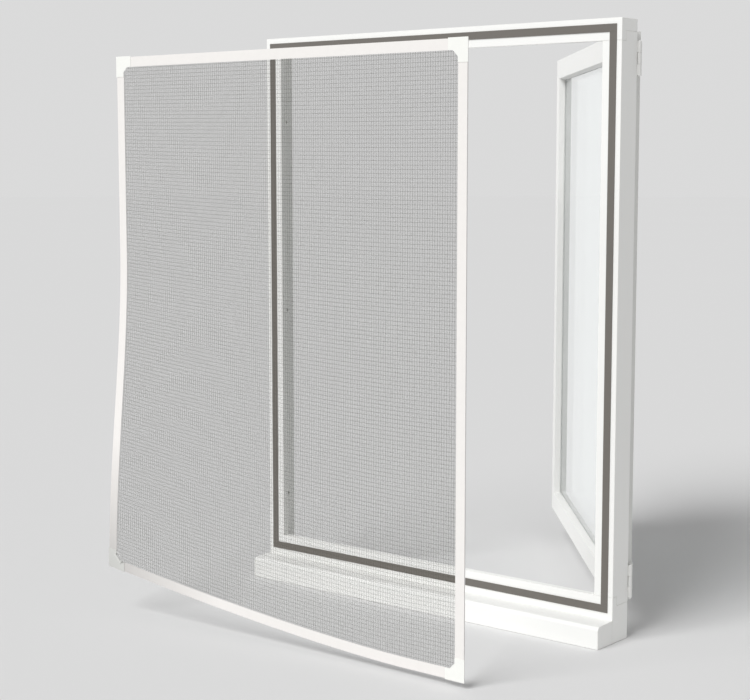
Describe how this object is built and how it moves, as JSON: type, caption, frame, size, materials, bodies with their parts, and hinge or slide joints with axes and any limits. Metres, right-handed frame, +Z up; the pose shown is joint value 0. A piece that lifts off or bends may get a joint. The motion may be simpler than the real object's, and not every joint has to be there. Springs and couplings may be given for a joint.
{
  "type": "casement window",
  "caption": "Outward-opening white timber casement window, sash on side hinges, with a removable magnetic insect screen held off the frame and one corner peeled back.",
  "frame": {"origin": "middle of the frame's underside, halfway through the frame's depth", "axes": "+X across the window towards the hinges (to the right from the room), +Y outdoors, +Z up"},
  "size_m": [0.9435, 1.2022, 1.195],
  "materials": {
    "frame_timber": "satin white paint on timber",
    "sill_timber": "satin white paint on timber",
    "dowel_wood": "bare beech",
    "magnet_tape": "matt dark grey flexible magnet",
    "rubber_seal": "matt pale grey",
    "hinge_leaf": "white powder coat on steel",
    "hinge_pin": "zinc-plated",
    "screw": "zinc-plated",
    "sash_timber": "satin white paint on timber",
    "glazing_bead": "satin white paint on timber",
    "glass": "clear float glass with a faint green edge",
    "spacer_bar": "bright mill finish",
    "edge_sealant": "matt",
    "glazing_tape": "matt",
    "glazing_block": "matt",
    "magnet_strip": "matt pale grey flexible magnet",
    "mesh": "open weave of fine grey glass-fibre yarn",
    "edge_cover": "matt white film",
    "corner_patch": "smooth white film",
    "pull_loop": "smooth white film"
  },
  "bodies": {
    "frame": {"head": "frame_timber", "left_jamb": "frame_timber", "right_jamb": "frame_timber", "bottom_rail": "frame_timber", "inner_sill": "sill_timber", "sill_dowels": "dowel_wood", "tape_top": "magnet_tape", "tape_bottom": "magnet_tape", "tape_left": "magnet_tape", "tape_right": "magnet_tape", "rebate_seal": "rubber_seal", "upper_frame_leaf": "hinge_leaf", "lower_frame_leaf": "hinge_leaf", "upper_hinge_pin": "hinge_pin", "lower_hinge_pin": "hinge_pin", "frame_leaf_screws": "screw"},
    "sash": {"hinge_stile": "sash_timber", "free_stile": "sash_timber", "sash_top_rail": "sash_timber", "sash_bottom_rail": "sash_timber", "bead_top": "glazing_bead", "bead_bottom": "glazing_bead", "bead_hinge_side": "glazing_bead", "bead_free_side": "glazing_bead", "inner_pane": "glass", "outer_pane": "glass", "spacer_frame": "spacer_bar", "edge_sealant": "edge_sealant", "inner_glazing_tape": "glazing_tape", "outer_glazing_tape": "glazing_tape", "glazing_blocks": "glazing_block", "upper_sash_leaf": "hinge_leaf", "lower_sash_leaf": "hinge_leaf", "sash_leaf_screws": "screw"},
    "screen": {"magnet_strip_top": "magnet_strip", "magnet_strip_bottom": "magnet_strip", "magnet_strip_left": "magnet_strip", "magnet_strip_right": "magnet_strip", "screen_mesh": "mesh", "edge_cover_top": "edge_cover", "edge_cover_bottom": "edge_cover", "edge_cover_left": "edge_cover", "edge_cover_right": "edge_cover", "corner_patch_top_left": "corner_patch", "corner_patch_top_right": "corner_patch", "corner_patch_bottom_left": "corner_patch", "corner_patch_bottom_right": "corner_patch", "pull_loop": "pull_loop"}
  },
  "joints": [
    {"name": "sash_hinge", "type": "hinge", "parent": "frame", "child": "sash", "pos_m": [0.452, 0.0326, 0.622], "axis": [0, 0, -1], "range_deg": [-49.7, 40.3]},
    {"name": "screen_pull", "type": "slide", "parent": "frame", "child": "screen", "axis": [0.1155, 0.9867, 0.1143], "range_m": [0, 0.40691]}
  ]
}
